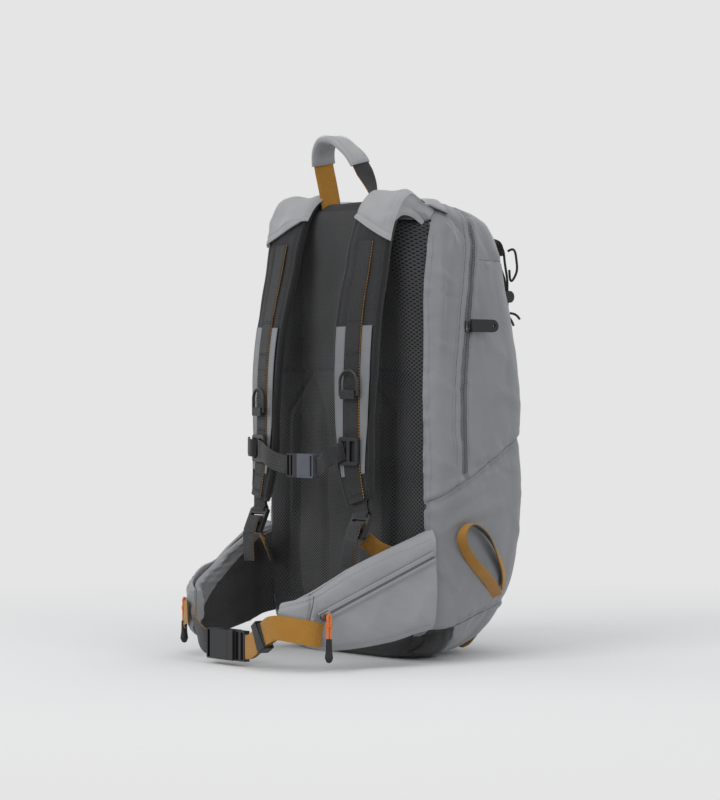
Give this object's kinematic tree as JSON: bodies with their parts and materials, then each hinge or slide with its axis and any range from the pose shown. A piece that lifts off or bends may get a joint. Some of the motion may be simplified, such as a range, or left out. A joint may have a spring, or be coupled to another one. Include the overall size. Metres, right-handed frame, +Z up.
{
  "type": "ski backpack",
  "caption": "Slim panel-loading ski pack with a mesh back, yoked padded shoulder straps, sternum strap, hip belt with zipped wing pockets, ski loops and a haul handle.",
  "frame": {"origin": "middle of the flat rest area under the base", "axes": "+Z up along the back panel, -Y out of the padded back towards the wearer, +X towards the side seen on the right in the harness view"},
  "size_m": [0.3113, 0.3469, 0.5469],
  "materials": {
    "shell_fabric": "matte woven polyester",
    "yoke_fabric": "matte woven polyester, a shade lighter",
    "air_mesh": "open 3D mesh",
    "strap_fabric": "closely woven",
    "boot_fabric": "coated weave",
    "webbing_black": "ribbed webbing",
    "webbing_mustard": "ribbed webbing, black on its back",
    "zip_tape": "coated coil zip",
    "reflective": "retro-reflective film",
    "foam": "closed-cell foam",
    "frame_plastic": "smooth sheet",
    "acetal_black": "fine moulded texture",
    "acetal_grey": "fine moulded texture",
    "zip_metal": "dark nickel",
    "rubber_black": "soft matt",
    "cord_black": "braided",
    "cord_orange": "braided",
    "elastic_black": "woven elastic"
  },
  "bodies": {
    "pack": {"back_mesh_panel": "air_mesh", "gusset_panel": "shell_fabric", "main_zipper_tape": "zip_tape", "front_panel": "shell_fabric", "lower_wrap_panel": "shell_fabric", "base_panel": "shell_fabric", "base_boot": "boot_fabric", "back_foam": "foam", "frame_sheet": "frame_plastic", "base_straps": "webbing_black", "tool_loop": "webbing_mustard", "shoulder_strap_right": "strap_fabric", "shoulder_strap_left": "strap_fabric", "strap_webbing_right": "webbing_black", "strap_webbing_left": "webbing_black", "yoke_cover_right": "yoke_fabric", "yoke_cover_left": "yoke_fabric", "reflective_strips_right": "reflective", "reflective_strips_left": "reflective", "d_ring_keeper_right": "webbing_black", "d_ring_keeper_left": "webbing_black", "lower_webbing_right": "webbing_mustard", "lower_webbing_left": "webbing_mustard", "cord_anchor_tab": "webbing_black", "pole_cord": "cord_black"},
    "hip_wing_right": {"hip_wing_pad_right": "air_mesh", "hip_wing_pocket_right": "shell_fabric", "hip_zipper_right": "zip_tape", "hip_webbing_right": "webbing_mustard", "hip_webbing_keeper": "elastic_black"},
    "hip_wing_left": {"hip_wing_pad_left": "air_mesh", "hip_wing_pocket_left": "shell_fabric", "hip_zipper_left": "zip_tape", "hip_webbing_left": "webbing_mustard", "hip_buckle_female": "acetal_black"},
    "hip_male": {"hip_buckle_male": "acetal_black"},
    "hip_zip_right": {"hip_zip_slider_right": "zip_metal"},
    "hip_zip_left": {"hip_zip_slider_left": "zip_metal"},
    "hip_pull_right": {"hip_pull_cord_right": "cord_orange", "hip_pull_grip_right": "rubber_black"},
    "hip_pull_left": {"hip_pull_cord_left": "cord_orange", "hip_pull_grip_left": "rubber_black"},
    "sternum_right": {"sternum_slider_right": "acetal_black", "sternum_webbing_right": "webbing_black", "sternum_buckle_female": "acetal_grey"},
    "sternum_left": {"sternum_slider_left": "acetal_black", "sternum_webbing_left": "webbing_black"},
    "sternum_male": {"sternum_buckle_male": "acetal_black"},
    "main_zip": {"main_zip_slider": "zip_metal"},
    "main_tab": {"main_zip_pull_tab": "rubber_black"},
    "d_ring_right": {"d_ring_right": "acetal_black"},
    "d_ring_left": {"d_ring_left": "acetal_black"},
    "ladder_lock_right": {"ladder_lock_right": "acetal_black"},
    "ladder_lock_left": {"ladder_lock_left": "acetal_black"},
    "cord_lock": {"cord_lock_body": "acetal_black"},
    "cord_button": {"cord_lock_button": "acetal_black"},
    "haul_handle": {"haul_webbing": "webbing_mustard", "haul_grip": "shell_fabric"},
    "ski_loop_right": {"ski_loop_right": "webbing_mustard"},
    "ski_loop_left": {"ski_loop_left": "webbing_mustard"}
  },
  "joints": [
    {"name": "hip_wing_right_swing", "type": "hinge", "parent": "pack", "child": "hip_wing_right", "pos_m": [0.153, -0.0775, 0.085], "axis": [0, 0, 1], "range_deg": [0, 60]},
    {"name": "hip_wing_left_swing", "type": "hinge", "parent": "pack", "child": "hip_wing_left", "pos_m": [-0.153, -0.0775, 0.085], "axis": [0, 0, -1], "range_deg": [0, 60]},
    {"name": "hip_unclip", "type": "slide", "parent": "hip_wing_right", "child": "hip_male", "axis": [1, 0, 0], "range_m": [0, 0.03], "deforming": ["hip_buckle_male", "hip_webbing_right"]},
    {"name": "hip_zip_right_slide", "type": "slide", "parent": "hip_wing_right", "child": "hip_zip_right", "axis": [0.22, 0.8838, 0.4128], "range_m": [0, 0.1265]},
    {"name": "hip_zip_left_slide", "type": "slide", "parent": "hip_wing_left", "child": "hip_zip_left", "axis": [-0.2825, 0.8474, 0.4495], "range_m": [0, 0.115]},
    {"name": "hip_pull_right_swing", "type": "hinge", "parent": "hip_zip_right", "child": "hip_pull_right", "pos_m": [0.13455, -0.20475, 0.05548], "axis": [0.9704, -0.2416, 0], "range_deg": [-40, 40]},
    {"name": "hip_pull_left_swing", "type": "hinge", "parent": "hip_zip_left", "child": "hip_pull_left", "pos_m": [-0.12934, -0.19189, 0.0557], "axis": [0.9487, 0.3162, 0], "range_deg": [-40, 40]},
    {"name": "sternum_height_right", "type": "slide", "parent": "pack", "child": "sternum_right", "axis": [0, 0, 1], "range_m": [-0.01, 0.016]},
    {"name": "sternum_height_left", "type": "slide", "parent": "pack", "child": "sternum_left", "axis": [0, 0, 1], "range_m": [-0.01, 0.016]},
    {"name": "sternum_unclip", "type": "slide", "parent": "sternum_left", "child": "sternum_male", "axis": [-1, 0, 0], "range_m": [0, 0.026], "deforming": ["sternum_buckle_male", "sternum_webbing_left"]},
    {"name": "main_zip_slide", "type": "slide", "parent": "pack", "child": "main_zip", "axis": [-0.1244, 0.1801, 0.9757], "range_m": [-0.04, 0.045]},
    {"name": "main_tab_swing", "type": "hinge", "parent": "main_zip", "child": "main_tab", "pos_m": [0.13061, -0.01171, 0.34631], "axis": [0.1244, -0.1801, -0.9757], "range_deg": [0, 150]},
    {"name": "d_ring_right_flip", "type": "hinge", "parent": "pack", "child": "d_ring_right", "pos_m": [0.07632, -0.13284, 0.275], "axis": [0.9848, 0.1736, 0], "range_deg": [0, 100]},
    {"name": "d_ring_left_flip", "type": "hinge", "parent": "pack", "child": "d_ring_left", "pos_m": [-0.07632, -0.13284, 0.256], "axis": [0.9848, -0.1736, 0], "range_deg": [0, 100]},
    {"name": "ladder_lock_right_tilt", "type": "hinge", "parent": "pack", "child": "ladder_lock_right", "pos_m": [0.08637, -0.12254, 0.15096], "axis": [-1, 0, 0], "range_deg": [0, 25], "deforming": ["lower_webbing_right"]},
    {"name": "ladder_lock_left_tilt", "type": "hinge", "parent": "pack", "child": "ladder_lock_left", "pos_m": [-0.08637, -0.12254, 0.15096], "axis": [-1, 0, 0], "range_deg": [0, 25], "deforming": ["lower_webbing_left"]},
    {"name": "cord_lock_slide", "type": "slide", "parent": "pack", "child": "cord_lock", "axis": [0, 0, 1], "range_m": [0, 0.022], "deforming": ["pole_cord"]},
    {"name": "cord_button_press", "type": "slide", "parent": "cord_lock", "child": "cord_button", "axis": [1, 0, 0], "range_m": [0, 0.003], "stiffness_N_per_m": 900, "springref_m": -0.001},
    {"name": "haul_handle_fold", "type": "hinge", "parent": "pack", "child": "haul_handle", "pos_m": [0, -0.068, 0.482], "axis": [1, 0, 0], "range_deg": [-25, 25], "deforming": ["haul_webbing"]},
    {"name": "ski_loop_right_swing", "type": "hinge", "parent": "pack", "child": "ski_loop_right", "pos_m": [0.115, 0.041, 0.068], "axis": [0, 0.7071, 0.7071], "range_deg": [0, 40]},
    {"name": "ski_loop_left_swing", "type": "hinge", "parent": "pack", "child": "ski_loop_left", "pos_m": [-0.115, 0.041, 0.068], "axis": [0, -0.7071, -0.7071], "range_deg": [0, 40]}
  ],
  "couplings": [
    {"joint": "sternum_height_left", "follows": "sternum_height_right", "ratio": 1}
  ]
}
